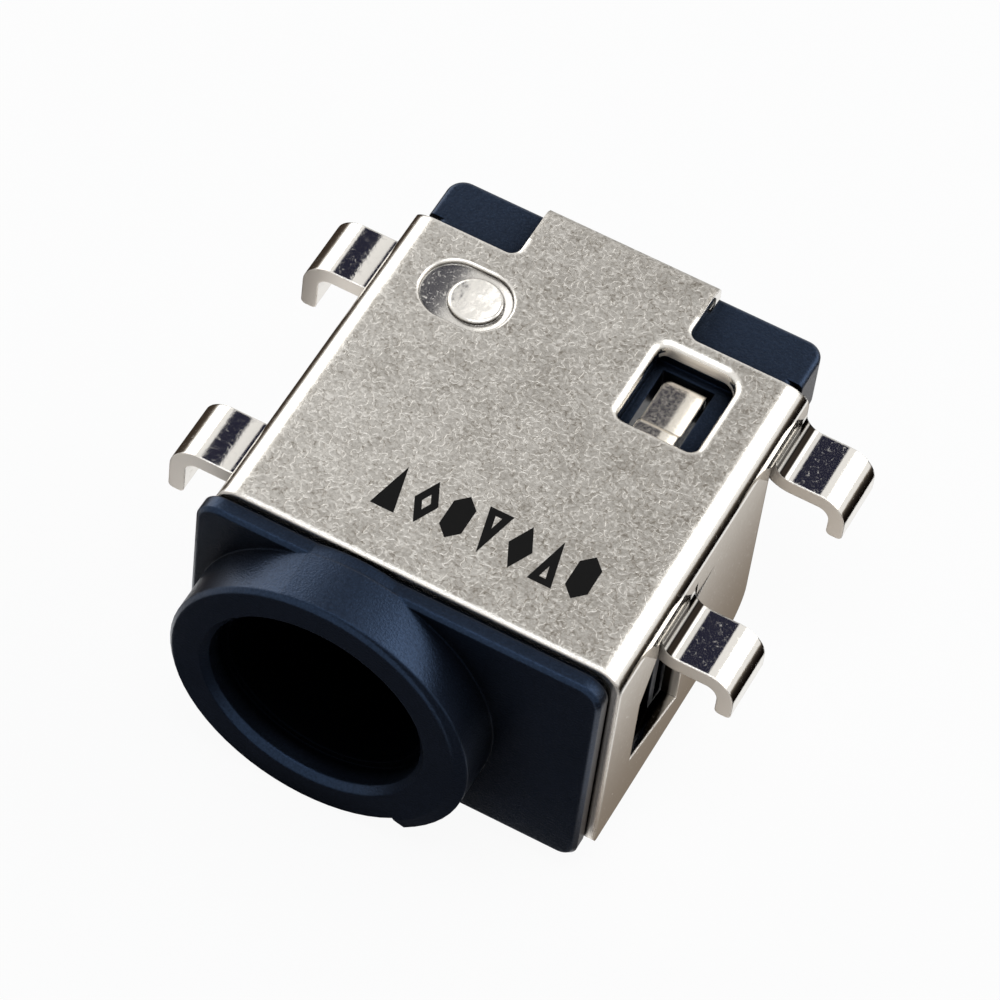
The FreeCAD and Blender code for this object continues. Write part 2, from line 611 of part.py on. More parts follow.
# Terminal of the centre pin: a round eye, an arm up the back and a tail down to the board
terminal = new_body("pin_terminal")
block(terminal, "Pad", "eye", "y", "body_rear", EYE_REAR, [], [("0", "0", "eye_radius")])
block(
    terminal, "Pad", "arm", "x", "-arm_width / 2", "arm_width / 2",
    [[
        ("body_rear", "0"), (EYE_REAR, "0"), (EYE_REAR, "arm_top - strip"),
        ("arm_rear", "arm_top - strip"), ("arm_rear", "arm_top"), ("body_rear", "arm_top"),
    ]],
)
tail = block(
    terminal, "Pad", "tail", "x", "-tail_width / 2", "tail_width / 2",
    [rectangle("arm_rear - strip", "arm_rear", "tail_tip", "arm_top")],
)
arm_bend = edges_within(tail, y="body_rear", z="arm_top")
tail = soften("Fillet", tail, "arm_bend", arm_bend, "strip_bend")
tail_bend = edges_within(tail, y="arm_rear", z="arm_top")
tail = soften("Fillet", tail, "tail_bend", tail_bend, "strip_bend")
block(
    terminal, "Pocket", "eye_hole", "y", "body_rear", EYE_REAR, [],
    [("0", "0", "pin_neck + pin_clearance")],
)

# Sleeve contact: upright plate with an arm and tail, a folded tab above, a sprung leaf below
spring = new_body("sleeve_spring")
block(
    spring, "Pad", "carrier", "x", CARRIER_LEFT, "carrier_right",
    [[
        ("carrier_front", "carrier_low"), ("carrier_deep_rear", "carrier_low"),
        ("carrier_deep_rear", "arm_low"), ("tail_rear - tail_width", "arm_low"),
        ("tail_rear - tail_width", "tail_tip"), ("tail_rear", "tail_tip"),
        ("tail_rear", "arm_high"), ("carrier_rear", "arm_high"), ("carrier_rear", "tab_top"),
        ("tab_front", "tab_top"), ("tab_front - tab_step", "tab_top + tab_step"),
        ("tab_step_end", "tab_top + tab_step"), ("tab_step_end", "arm_high"),
        ("carrier_front", "arm_high"),
    ]],
)
tab = block(
    spring, "Pad", "tab", "x", "tab_left", "carrier_right",
    [[
        ("carrier_rear", "tab_top - strip"), ("carrier_rear", "tab_top"),
        ("tab_front", "tab_top"), ("tab_front - tab_step", "tab_top + tab_step"),
        ("tab_step_end", "tab_top + tab_step"),
        ("tab_step_end", "tab_top + tab_step - strip"),
        ("tab_front - tab_step", "tab_top + tab_step - strip"),
        ("tab_front", "tab_top - strip"),
    ]],
)
tab_corners = edges_within(
    tab, x="tab_left", y="carrier_rear", z=("tab_top - strip", "tab_top"),
)
soften("Fillet", tab, "tab_corners", tab_corners, "tab_corner")
leaf = block(
    spring, "Pad", "leaf", "z", "-leaf_height / 2", "leaf_height / 2",
    [[
        ("carrier_right", "carrier_front + strip"), ("carrier_right", "hairpin_front"),
        ("leaf_left", "hairpin_front"), ("leaf_bulge", "leaf_bulge_y"),
        ("leaf_lip", "leaf_end"), ("leaf_lip + strip", "leaf_end"),
        ("leaf_bulge + strip", "leaf_bulge_y"), ("leaf_left + strip", "hairpin_front + strip"),
        (CARRIER_LEFT, "hairpin_front + strip"), (CARRIER_LEFT, "carrier_front + strip"),
    ]],
)
LEAF_SPAN = ("-leaf_height / 2", "leaf_height / 2")
for label, places, radius in (
    ("hairpin", (("carrier_right", "hairpin_front"), ("leaf_left", "hairpin_front")),
     "hairpin_radius"),
    ("hairpin_inside", ((CARRIER_LEFT, "hairpin_front + strip"),
                        ("leaf_left + strip", "hairpin_front + strip")),
     "hairpin_radius - strip"),
    ("leaf_bend_inside", (("leaf_bulge + strip", "leaf_bulge_y"),), "leaf_bend"),
    ("leaf_bend_outside", (("leaf_bulge", "leaf_bulge_y"),), "leaf_bend + strip"),
):
    bends = []
    for across, along in places:
        bends += edges_within(leaf, x=across, y=along, z=LEAF_SPAN)
    leaf = soften("Fillet", leaf, label, bends, radius)

doc.removeObject("Working")
doc.recompute()

# Every object is checked before anything is written
for item in doc.Objects:
    if "Invalid" in item.State or "Error" in item.State:
        raise RuntimeError(f"{item.Name} is {item.State}")
bodies = [shell, housing, pin, terminal, spring]
for body in bodies:
    if body.Shape.isNull() or not body.Shape.isValid() or len(body.Shape.Solids) != 1:
        raise RuntimeError(f"{body.Label} isn't one valid solid")
os.makedirs("parts", exist_ok=True)
for body in bodies:
    body.Shape.exportStep(f"parts/{body.Label}.step")
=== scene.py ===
"""A shielded barrel power jack on a pale floor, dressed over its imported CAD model.

The frame is the CAD's: the origin is the centre of the plug bore's mouth, +Y runs into the
jack, +Z is up from the circuit board and +X is across.  Blender's unit is the metre; sizes and
places are written in millimetres and multiplied by MM.
"""
from functools import partial

import bpy
import numpy as np
from mathutils import Matrix, Vector


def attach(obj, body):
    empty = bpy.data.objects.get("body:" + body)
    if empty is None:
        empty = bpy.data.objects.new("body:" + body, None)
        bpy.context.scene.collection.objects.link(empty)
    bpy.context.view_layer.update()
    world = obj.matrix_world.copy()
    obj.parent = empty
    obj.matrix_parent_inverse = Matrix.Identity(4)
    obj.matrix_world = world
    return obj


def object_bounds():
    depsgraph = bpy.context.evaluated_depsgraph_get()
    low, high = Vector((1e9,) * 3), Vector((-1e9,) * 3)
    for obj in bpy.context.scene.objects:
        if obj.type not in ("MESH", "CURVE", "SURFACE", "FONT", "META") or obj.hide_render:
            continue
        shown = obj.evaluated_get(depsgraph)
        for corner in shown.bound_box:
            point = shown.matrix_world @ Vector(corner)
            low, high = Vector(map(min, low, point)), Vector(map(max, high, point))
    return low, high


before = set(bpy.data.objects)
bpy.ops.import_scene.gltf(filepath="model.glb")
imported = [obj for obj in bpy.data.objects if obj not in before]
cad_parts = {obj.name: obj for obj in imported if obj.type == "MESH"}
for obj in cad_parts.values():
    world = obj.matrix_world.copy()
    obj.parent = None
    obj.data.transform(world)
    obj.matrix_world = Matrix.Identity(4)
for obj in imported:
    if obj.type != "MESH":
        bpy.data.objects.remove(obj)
cad_box = [list(corner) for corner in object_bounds()]
MM = 0.001
scene = bpy.context.scene
scene.view_settings.view_transform = "Standard"


# The camera stands to the right of the bore and well above it, as in the photograph, with a
# long lens and a slight tilt of the horizon.
CAMERA_PLACE = Vector((31.334, -69.226, 113.610)) * MM
RIGHT = Vector((0.88033, 0.46702, 0.08315))
UP = Vector((-0.42276, 0.69291, 0.58408))
BACK = RIGHT.cross(UP).normalized()
camera = bpy.data.objects.new("camera", bpy.data.cameras.new("camera"))
scene.collection.objects.link(camera)
turn = Matrix((RIGHT.normalized(), BACK.cross(RIGHT).normalized(), BACK)).transposed()
camera.matrix_world = Matrix.Translation(CAMERA_PLACE) @ turn.to_4x4()
camera.data.sensor_width = 36.0
camera.data.lens = 198.0
camera.data.clip_start = 10.0 * MM
camera.data.clip_end = 10000.0 * MM
scene.camera = camera


# The studio: a white room and a pale paper floor, with softboxes to the right, left and above.
# Dark cards that only mirrors see stand high behind the jack and lie on the floor round it;
# they give the polished metal and the front of the moulding their dark reflections.
JACK_MIDDLE = Vector((1.6, 6.0, 0.0)) * MM
FILL_LIGHT = 0.14
PAPER_GLOW = 0.94
FLOOR_HALF = 600.0 * MM


def hex_colour(code):
    """Linear red, green, blue and alpha of an sRGB hex colour."""
    srgb = np.array([int(code[at:at + 2], 16) for at in (0, 2, 4)]) / 255
    linear = np.where(srgb <= 0.04045, srgb / 12.92, ((srgb + 0.055) / 1.055) ** 2.4)
    return (*linear.tolist(), 1.0)


def add_node(tree, kind, inputs=None, **settings):
    """Adds a shader node with its settings and links.

    An input is a number, a hex colour, a socket, or a node, which feeds its first live output.
    """
    made = tree.nodes.new("ShaderNode" + kind)
    for name, value in settings.items():
        setattr(made, name, value)
    for name, value in (inputs or {}).items():
        if isinstance(value, bpy.types.Node):
            value = next(socket for socket in value.outputs if socket.enabled)
        if isinstance(value, bpy.types.NodeSocket):
            tree.links.new(value, made.inputs[name])
        else:
            value = hex_colour(value) if isinstance(value, str) else value
            made.inputs[name].default_value = value
    return made


def emptied(owner):
    """The node tree of a material or a world, with nothing in it."""
    owner.use_nodes = True
    owner.node_tree.nodes.clear()
    return owner.node_tree


def seen_directly(tree):
    """1 for rays from the camera, or by way of a mirror or glass, and 0 for lighting rays."""
    path = add_node(tree, "LightPath").outputs
    shiny = add_node(tree, "Math", {
        0: path["Is Glossy Ray"], 1: path["Is Transmission Ray"],
    }, operation="ADD")
    return add_node(tree, "Math", {
        0: path["Is Camera Ray"], 1: shiny,
    }, operation="ADD", use_clamp=True)


room = bpy.data.worlds.new("white_room")
scene.world = room
tree = emptied(room)
fill = add_node(tree, "Background", {"Color": "F2F5FA", "Strength": FILL_LIGHT})
white = add_node(tree, "Background", {"Color": "FFFFFF", "Strength": 1.0})
room_mix = add_node(tree, "MixShader", {0: seen_directly(tree), 1: fill, 2: white})
add_node(tree, "OutputWorld", {"Surface": room_mix})

floor_level = cad_box[0][2]
floor_mesh = bpy.data.meshes.new("floor")
floor_mesh.from_pydata([
    (x * FLOOR_HALF, y * FLOOR_HALF, floor_level) for x, y in ((-1, -1), (1, -1), (1, 1), (-1, 1))
], [], [(0, 1, 2, 3)])
floor = bpy.data.objects.new("floor", floor_mesh)
scene.collection.objects.link(floor)
paper = bpy.data.materials.new("white_paper")
tree = emptied(paper)
matt = add_node(tree, "BsdfDiffuse", {"Color": "F4F4F4"})
glow = add_node(tree, "Emission", {"Color": "FFFFFF", "Strength": 1.0})
share = add_node(tree, "Math", {0: seen_directly(tree), 1: PAPER_GLOW}, operation="MULTIPLY")
paper_mix = add_node(tree, "MixShader", {0: share, 1: matt, 2: glow})
add_node(tree, "OutputMaterial", {"Surface": paper_mix})
floor_mesh.materials.append(paper)


def softbox(name, towards, distance, width, height, radiance, colour="FFFFFF"):
    """A rectangular lamp that faces the jack; its power is radiance times pi times its area."""
    lamp = bpy.data.lights.new(name, "AREA")
    lamp.shape = "RECTANGLE"
    lamp.size, lamp.size_y = width * MM, height * MM
    lamp.energy = radiance * np.pi * width * height * MM ** 2
    lamp.color = hex_colour(colour)[:3]
    holder = bpy.data.objects.new(name, lamp)
    scene.collection.objects.link(holder)
    away = Vector(towards).normalized()
    holder.location = JACK_MIDDLE + away * distance * MM
    holder.rotation_mode = "QUATERNION"
    holder.rotation_quaternion = away.to_track_quat("Z", "Y")


softbox("right_softbox", (0.62, 0.55, 0.56), 220.0, 190.0, 150.0, 2.2)
softbox("left_softbox", (-0.80, 0.42, 0.35), 220.0, 200.0, 160.0, 1.7)
softbox("top_softbox", (0.02, -0.12, 0.99), 220.0, 150.0, 110.0, 3.0, "F3F8FF")


def flag(name, centre, facing, half_width, half_height, inner, outer, outward=1):
    """A dark card that only mirrors see.

    It glows from the inner colour to the outer one with the square of the way across, so that
    it fades late.  outward is 1 where the outer edge is at the room's +X, and -1 at its -X; a
    card's own X runs the other way.
    """
    mesh = bpy.data.meshes.new(name)
    mesh.from_pydata([
        (x * half_width * MM, y * half_height * MM, 0.0)
        for x, y in ((-1, -1), (1, -1), (1, 1), (-1, 1))
    ], [], [(0, 1, 2, 3)])
    card = bpy.data.objects.new(name, mesh)
    scene.collection.objects.link(card)
    card.location = Vector(centre) * MM
    card.rotation_mode = "QUATERNION"
    card.rotation_quaternion = Vector(facing).to_track_quat("Z", "Y")
    card.visible_camera = False
    card.visible_diffuse = False
    card.visible_shadow = False
    velvet = bpy.data.materials.new(name)
    add = partial(add_node, emptied(velvet))
    across = add("SeparateXYZ", {0: add("TexCoord").outputs["Object"]}).outputs["X"]
    share = add("MapRange", {
        "Value": across,
        "From Min": half_width * outward * MM, "From Max": -half_width * outward * MM,
    })
    square = add("Math", {0: share, 1: share}, operation="MULTIPLY")
    colour = add("Mix", {"Factor": square, "A": inner, "B": outer}, data_type="RGBA")
    dusk = add("Emission", {"Color": colour})
    add("OutputMaterial", {"Surface": dusk})
    mesh.materials.append(velvet)


UPWARDS = (0.0, 0.0, 1.0)
ON_FLOOR = floor_level / MM + 0.05
flag("high_flag", (-56.0, 172.0, 243.0), (-0.2, 0.55, 0.81), 33.0, 60.0, "2A2B3C", "2A2B3C")
flag("wall_flag", (8.5, 13.0, ON_FLOOR), UPWARDS, 1.3, 16.0, "857A6E", "FFFDFA")
flag("right_flag", (36.5, 25.0, ON_FLOOR), UPWARDS, 24.0, 45.0, "0E0A08", "B4A99C")
flag("left_flag", (-34.45, 35.8, ON_FLOOR), UPWARDS, 26.55, 34.2, "3A3129", "C4BAAE", -1)
flag("front_flag", (0.9, -14.1, ON_FLOOR), UPWARDS, 6.2, 15.3, "3C3E44", "3C3E44")
flag("front_wings", (-3.9, -15.1, ON_FLOOR + 0.02), UPWARDS, 12.1, 14.3, "3C3E44", "3C3E44")


# The housing is one moulding of blue-black glass-filled nylon: collar, flange, body and rear
# blocks.  It comes from a mould with a fine spark-eroded surface, and carries all the metal.
PITS = 0.06
CLOUDS = 1.6
BORE_EDGE = 3.06
BORE_DARKENS = (0.35, 0.80)
BORE_END = 9.3


def creases(add, reach, low, high, **settings):
    """0 deep in an inside corner and 1 on an open face, from the sky that a spot sees; it sets
    how much painted shade a spot gets.
    """
    sky = add("AmbientOcclusion", {"Distance": reach * MM}, samples=4, **settings)
    return add("MapRange", {"Value": sky.outputs["AO"], "From Min": low, "From Max": high})


def moulded_nylon(name):
    """Dark nylon with a soft, broad and bluish sheen and no clear reflection.

    The pits that soften the sheen are a few hundredths of a millimetre wide, and are drawn
    coarser so that they show.  The colour is faintly uneven.  Painted shade darkens the colour
    and dims the sheen in creases and down the bore, which is painted black.
    """
    material = bpy.data.materials.new(name)
    add = partial(add_node, emptied(material))
    where = add("TexCoord").outputs["Object"]
    place = add("SeparateXYZ", {0: where}).outputs

    # Painted shade: the creases and the bore are darkened, nearly to black, and their sheen is
    # dimmed.
    # How far in the bore a spot lies: the way from the axis is the root of x squared plus z
    # squared.
    z_squared = add("Math", {0: place["Z"], 1: place["Z"]}, operation="MULTIPLY")
    both = add("Math", {0: place["X"], 1: place["X"], 2: z_squared}, operation="MULTIPLY_ADD")
    off_axis = add("Math", {0: both}, operation="SQRT")
    near_axis = add("Math", {0: off_axis, 1: BORE_EDGE * MM}, operation="LESS_THAN")
    before_end = add("Math", {0: place["Y"], 1: BORE_END * MM}, operation="LESS_THAN")
    depth = add("MapRange", {
        "Value": place["Y"], "From Min": BORE_DARKENS[0] * MM, "From Max": BORE_DARKENS[1] * MM,
    })
    inside = add("Math", {0: near_axis, 1: before_end}, operation="MULTIPLY")
    inside = add("Math", {0: inside, 1: depth}, operation="MULTIPLY")
    unshaded = add("Math", {
        0: creases(add, 1.6, 0.42, 0.95), 1: inside,
    }, operation="SUBTRACT", use_clamp=True)

    cloud = add("TexNoise", {"Vector": where, "Scale": 1 / (CLOUDS * MM)})
    colour = add("Mix", {"Factor": cloud, "A": "10141B", "B": "171B24"}, data_type="RGBA")
    # Painted shade: creases and the bore go to near black.
    colour = add("Mix", {"Factor": unshaded, "A": "020305", "B": colour}, data_type="RGBA")
    pits = add("TexNoise", {"Vector": where, "Scale": 1 / (PITS * MM), "Roughness": 0.6})
    glint = add("MapRange", {
        "Value": pits, "From Min": 0.3, "From Max": 0.7, "To Min": 0.75, "To Max": 1.25,
    })
    sheen = add("MapRange", {"Value": unshaded, "To Min": 0.05, "To Max": 0.72})
    sheen = add("Math", {0: glint, 1: sheen}, operation="MULTIPLY")
    edges = add("Bevel", {"Radius": 0.08 * MM}, samples=4)
    bump = add("Bump", {
        "Height": pits, "Distance": 0.013 * MM, "Strength": 0.8, "Normal": edges,
    })
    shader = add("BsdfPrincipled", {
        "Base Color": colour, "Roughness": 0.29, "IOR": 1.5, "Specular IOR Level": sheen,
        "Specular Tint": "86ACE4", "Normal": bump,
    })
    add("OutputMaterial", {"Surface": shader})
    return material


def dress(node_name, material):
    """Gives a CAD node its material in every slot."""
    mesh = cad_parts[node_name].data
    mesh.materials.clear()
    mesh.materials.append(material)


dress("insulator_housing", moulded_nylon("blue_black_nylon"))


# The metal inside the moulding: the sleeve spring and the pin's terminal are stamped from
# phosphor bronze strip, folded and tinned.  The centre pin is turned brass with bright nickel,
# riveted through its terminal's eye.  The spring's tab rolls over at its right edge.
SPECKLE = 0.08
TAB_ROLL_FROM = 4.42
TAB_ROLL_RADIUS = 1.2


def bowed(add, way, radius):
    """The height of a bent surface: the square of the way, over twice the bend's radius."""
    square = add("Math", {0: way, 1: way}, operation="MULTIPLY")
    return add("Math", {0: square, 1: 0.5 / (radius * MM)}, operation="MULTIPLY")


def bright_contact(name, colour, roughness, edge, roll_from=None):
    """Smooth plated metal that mirrors the room, with painted shade where little light gets in.

    It is finely speckled with a grit that is drawn coarser than it is, so that it shows.  Its
    surface falls away to the right of roll_from, if that is given.
    """
    material = bpy.data.materials.new(name)
    add = partial(add_node, emptied(material))
    where = add("TexCoord").outputs["Object"]
    grit = add("TexNoise", {
        "Vector": where, "Scale": 1 / (SPECKLE * MM), "Detail": 3.0, "Roughness": 0.65,
    })
    speckle = add("MapRange", {"Value": grit, "From Min": 0.35, "From Max": 0.75})
    # Painted shade: the colour darkens to a dark grey in creases and where little light gets in.
    skin = add("Mix", {
        "Factor": creases(add, 0.8, 0.15, 0.65), "A": "1E222A", "B": colour,
    }, data_type="RGBA")
    smooth = add("Bevel", {"Radius": edge * MM}, samples=4)
    if roll_from is not None:
        across = add("SeparateXYZ", {0: where}).outputs["X"]
        past = add("Math", {0: across, 1: roll_from * MM}, operation="SUBTRACT")
        past = add("Math", {0: past, 1: 0.0}, operation="MAXIMUM")
        smooth = add("Bump", {
            "Height": bowed(add, past, -TAB_ROLL_RADIUS), "Distance": 1.0, "Strength": 1.0,
            "Normal": smooth,
        })
    bump = add("Bump", {
        "Height": speckle, "Distance": 0.003 * MM, "Strength": 0.4, "Normal": smooth,
    })
    rough = add("MapRange", {
        "Value": speckle, "To Min": roughness, "To Max": roughness + 0.14,
    })
    shader = add("BsdfPrincipled", {
        "Base Color": skin, "Metallic": 1.0, "Roughness": rough, "Normal": bump,
    })
    add("OutputMaterial", {"Surface": shader})
    return material


dress("sleeve_spring",
      bright_contact("tinned_bronze_strip", "DDD6CA", 0.135, 0.08, TAB_ROLL_FROM))
dress("pin_terminal", bright_contact("tinned_bronze_tail", "D9D6D0", 0.10, 0.05))
dress("centre_pin", bright_contact("nickelled_turned_pin", "D8D2C6", 0.14, 0.05))


# The shell is folded over the moulding from thin steel strip, plated with nickel.  Its top
# plate keeps the rolled sheet's skin, its bends, rims, stamped oval and hooks are burnished by
# the tools that formed them, and its sheared edges are torn and matt.
GRAIN = 0.10
STROKES = 0.24
BLOTCH = 0.9
SCUFFS = 0.12
DENTS = 0.45
CRISP_EDGE, ROLLED_EDGE = (0.07, 0.20)
PLATE_TOP = 4.2
PLATE_FACE = 4.17
PLATE_UNDER = 3.9
TONGUE_FROM = 12.9
OVAL_X, OVAL_Y = (-1.55, 10.42)
OVAL_REACH = 1.6
BOSS_X = -1.27
BOSS_REACH = 0.74
DISH_X, DISH_RADIUS = (-2.2, 7.0)
FRONT_EDGE = 2.35
WALL_INSIDE = 6.7
CUT_SHADE_EDGE, SHADE_FADE = (6.98, 0.1)
WINDOW_TOP = 1.85
BEND_STARTS, BEND_ENDS = (2.9, 3.4)
ROOT_LEVEL, ROOT_HALF = (2.60, 0.23)
LEFT_WALL = -4.1
HOOK_CROWN_X, HOOK_CROWN_RADIUS = (-5.33, 3.7)


def hairlines(add, where, size, width, shift):
    """Thin curved lines, where a noise passes its middle level, broken up by another noise."""
    moved = add("VectorMath", {0: where, 1: (shift * MM, shift * MM, 0)})
    path = add("TexNoise", {
        "Vector": moved, "Scale": 1 / (size * MM), "Detail": 1.0, "Distortion": 0.4,
    })
    off_middle = add("Math", {0: path, 1: 0.5}, operation="SUBTRACT")
    off_middle = add("Math", {0: off_middle}, operation="ABSOLUTE")
    line = add("MapRange", {"Value": off_middle, "From Max": width, "To Min": 1.0, "To Max": 0.0})
    breaks = add("TexNoise", {"Vector": moved, "Scale": 1 / (size * 0.7 * MM)})
    broken = add("MapRange", {"Value": breaks, "From Min": 0.36, "From Max": 0.52})
    return add("Math", {0: line, 1: broken}, operation="MULTIPLY")


def nickel_sheet(name, colour):
    """Nickel plate: scratchy and satin where the rolled skin is left, a mirror elsewhere.

    The rolled skin is left on what faces up near the plate's height, away from its rims and
    outside the stamped oval, and on the tongue's fold.  Its grain and strokes are drawn coarser
    than they are, so that they show.
    """
    material = bpy.data.materials.new(name)
    add = partial(add_node, emptied(material))
    coordinates = add("TexCoord").outputs
    where = coordinates["Object"]
    place = add("SeparateXYZ", {0: where}).outputs
    facing = add("SeparateXYZ", {0: coordinates["Normal"]}).outputs

    # Where a spot lies
    from_oval = add("VectorMath", {
        0: where, 1: (OVAL_X * MM, OVAL_Y * MM, PLATE_TOP * MM),
    }, operation="DISTANCE")
    in_oval = add("Math", {0: from_oval, 1: OVAL_REACH * MM}, operation="LESS_THAN")
    from_boss = add("VectorMath", {
        0: where, 1: (BOSS_X * MM, OVAL_Y * MM, PLATE_TOP * MM),
    }, operation="DISTANCE")
    on_boss = add("Math", {0: from_boss, 1: BOSS_REACH * MM}, operation="LESS_THAN")
    high = add("Math", {0: place["Z"], 1: PLATE_UNDER * MM}, operation="GREATER_THAN")
    on_plate = add("Math", {0: place["Z"], 1: PLATE_FACE * MM}, operation="GREATER_THAN")
    below_plate = add("Math", {0: 1.0, 1: on_plate}, operation="SUBTRACT")
    on_tongue = add("Math", {0: place["Y"], 1: TONGUE_FROM * MM}, operation="GREATER_THAN")
    by_front = add("Math", {0: place["Y"], 1: FRONT_EDGE * MM}, operation="LESS_THAN")

    # Rims of the plate and the front edge are rolled over further than the other edges.
    rolled_over = add("Math", {0: high, 1: in_oval}, operation="SUBTRACT", use_clamp=True)
    rolled_over = add("Math", {0: rolled_over, 1: by_front}, operation="MAXIMUM")
    radius = add("MapRange", {
        "Value": rolled_over, "To Min": CRISP_EDGE * MM, "To Max": ROLLED_EDGE * MM,
    })
    rounded = add("Bevel", {"Radius": radius}, samples=5)
    rim = add("SeparateXYZ", {0: rounded}).outputs

    # Rolled skin, stamped faces and sheared edges
    flat = add("MapRange", {"Value": rim["Z"], "From Min": 0.955, "From Max": 0.985})
    fold = add("MapRange", {"Value": facing["Z"], "From Min": 0.1, "From Max": 0.35})
    fold = add("Math", {0: fold, 1: on_tongue}, operation="MULTIPLY")
    rolled = add("Math", {0: flat, 1: fold}, operation="MAXIMUM")
    tongue_top = add("Math", {0: high, 1: on_tongue}, operation="MULTIPLY")
    skin_height = add("Math", {0: on_plate, 1: tongue_top}, operation="MAXIMUM")
    rolled = add("Math", {0: rolled, 1: skin_height}, operation="MULTIPLY")
    rolled = add("Math", {0: rolled, 1: on_boss}, operation="SUBTRACT", use_clamp=True)
    sunk = add("Math", {0: in_oval, 1: below_plate}, operation="MULTIPLY")
    stamped = add("Math", {0: sunk, 1: on_boss}, operation="MAXIMUM")
    along = add("Math", {0: facing["Y"]}, operation="ABSOLUTE")
    least = add("Math", {0: high, 1: 0.55, 2: 0.35}, operation="MULTIPLY_ADD")
    sheared = add("Math", {0: along, 1: least}, operation="GREATER_THAN")

    # The satin plate: light and dark strokes over a fine grain and broad blotches, with painted
    # light that makes it a little lighter to the left
    light_lines = hairlines(add, where, STROKES, 0.045, 0.0)
    dark_lines = hairlines(add, where, STROKES, 0.040, 7.3)
    relief = add("Math", {0: light_lines, 1: dark_lines}, operation="SUBTRACT")
    grain = add("TexNoise", {
        "Vector": where, "Scale": 1 / (GRAIN * MM), "Roughness": 0.6, "Distortion": 0.4,
    })
    blotch = add("TexNoise", {
        "Vector": where, "Scale": 1 / (BLOTCH * MM), "Detail": 3.0, "Roughness": 0.6,
    })
    blotch = add("Math", {0: blotch, 1: 0.5}, operation="SUBTRACT")
    painted_light_leftwards = add("MapRange", {
        "Value": place["X"], "From Min": -4.0 * MM, "From Max": 7.2 * MM,
        "To Min": 0.13, "To Max": -0.09,
    })
    tone = add("Math", {0: relief, 1: 0.36, 2: grain}, operation="MULTIPLY_ADD")
    tone = add("Math", {0: tone, 1: painted_light_leftwards}, operation="ADD")
    tone = add("Math", {0: blotch, 1: 0.5, 2: tone}, operation="MULTIPLY_ADD")
    tone = add("MapRange", {"Value": tone, "From Min": 0.1, "From Max": 0.9})
    plate = add("Mix", {"Factor": tone, "A": "7B756C", "B": "C9C5BE"}, data_type="RGBA")
    bare = add("Mix", {"Factor": sheared, "A": colour, "B": "F2EBE2"}, data_type="RGBA")
    skin = add("Mix", {"Factor": rolled, "A": bare, "B": plate}, data_type="RGBA")

    # Painted shade darkens creases.  Through the right wall the cut edges get painted shade on
    # the inner half of the sheet and none outside; this painted shade fades out up the bend.
    unshaded = add("Math", {
        0: creases(add, 0.7, 0.50, 0.82, only_local=True),
        1: creases(add, 0.12, 0.35, 0.85, only_local=True),
    }, operation="MULTIPLY")
    in_wall = add("Math", {0: place["X"], 1: WALL_INSIDE * MM}, operation="GREATER_THAN")
    below_hooks = add("Math", {0: place["Z"], 1: WINDOW_TOP * MM}, operation="LESS_THAN")
    at_cuts = add("Math", {0: below_hooks, 1: by_front}, operation="MAXIMUM")
    sideways = add("Math", {0: facing["X"]}, operation="ABSOLUTE")
    edge_on = add("Math", {0: sideways, 1: 0.5}, operation="LESS_THAN")
    cut_wall = add("Math", {0: in_wall, 1: at_cuts}, operation="MULTIPLY")
    cut_wall = add("Math", {0: cut_wall, 1: edge_on}, operation="MULTIPLY")
    cut_unshaded = add("MapRange", {
        "Value": place["X"], "From Min": CUT_SHADE_EDGE * MM, "From Max": (CUT_SHADE_EDGE + SHADE_FADE) * MM,
    })
    bend = add("MapRange", {
        "Value": place["Z"], "From Min": BEND_STARTS * MM, "From Max": BEND_ENDS * MM,
    })
    cut_unshaded = add("Math", {0: cut_unshaded, 1: bend}, operation="MAXIMUM")
    unshaded = add("Mix", {"Factor": cut_wall, "A": unshaded, "B": cut_unshaded})
    skin = add("Mix", {"Factor": unshaded, "A": "2A241E", "B": skin}, data_type="RGBA")

    # Painted shade: two dark lines in the root of each right hook, on either side of one slope of
    # its bend
    root = add("Math", {
        0: place["Z"], 1: ROOT_LEVEL * MM, 2: ROOT_HALF * MM,
    }, operation="COMPARE")
    on_right = add("Math", {0: place["X"], 1: 0.0}, operation="GREATER_THAN")
    from_slope = add("Math", {0: facing["Z"], 1: 0.60}, operation="SUBTRACT")
    from_slope = add("Math", {0: from_slope}, operation="ABSOLUTE")
    off_slope = add("MapRange", {"Value": from_slope, "From Min": 0.03, "From Max": 0.10})
    not_steep = add("MapRange", {"Value": facing["Z"], "From Min": 0.22, "From Max": 0.34})
    not_flat = add("MapRange", {"Value": facing["Z"], "From Min": 0.95, "From Max": 0.90})
    for mask in (on_right, off_slope, not_steep, not_flat):
        root = add("Math", {0: root, 1: mask}, operation="MULTIPLY")
    skin = add("Mix", {"Factor": root, "A": skin, "B": "17130F"}, data_type="RGBA")

    # Roughness: burnished faces are mirrors with scuffs, sheared edges are matt, least so at
    # the front, and the plate is satin.
    scuffs = add("TexNoise", {
        "Vector": where, "Scale": 1 / (SCUFFS * MM), "Detail": 3.0, "Roughness": 0.7,
        "Distortion": 0.8,
    })
    burnished = add("MapRange", {
        "Value": scuffs, "From Min": 0.55, "From Max": 0.75, "To Min": 0.07, "To Max": 0.32,
    })
    burnished = add("Math", {0: in_oval, 1: 0.10, 2: burnished}, operation="MULTIPLY_ADD")
    matt_cut = add("MapRange", {"Value": by_front, "To Min": 0.5, "To Max": 0.26})
    rough = add("Mix", {"Factor": sheared, "A": burnished, "B": matt_cut})
    rough = add("Mix", {"Factor": rolled, "A": rough, "B": 0.42})

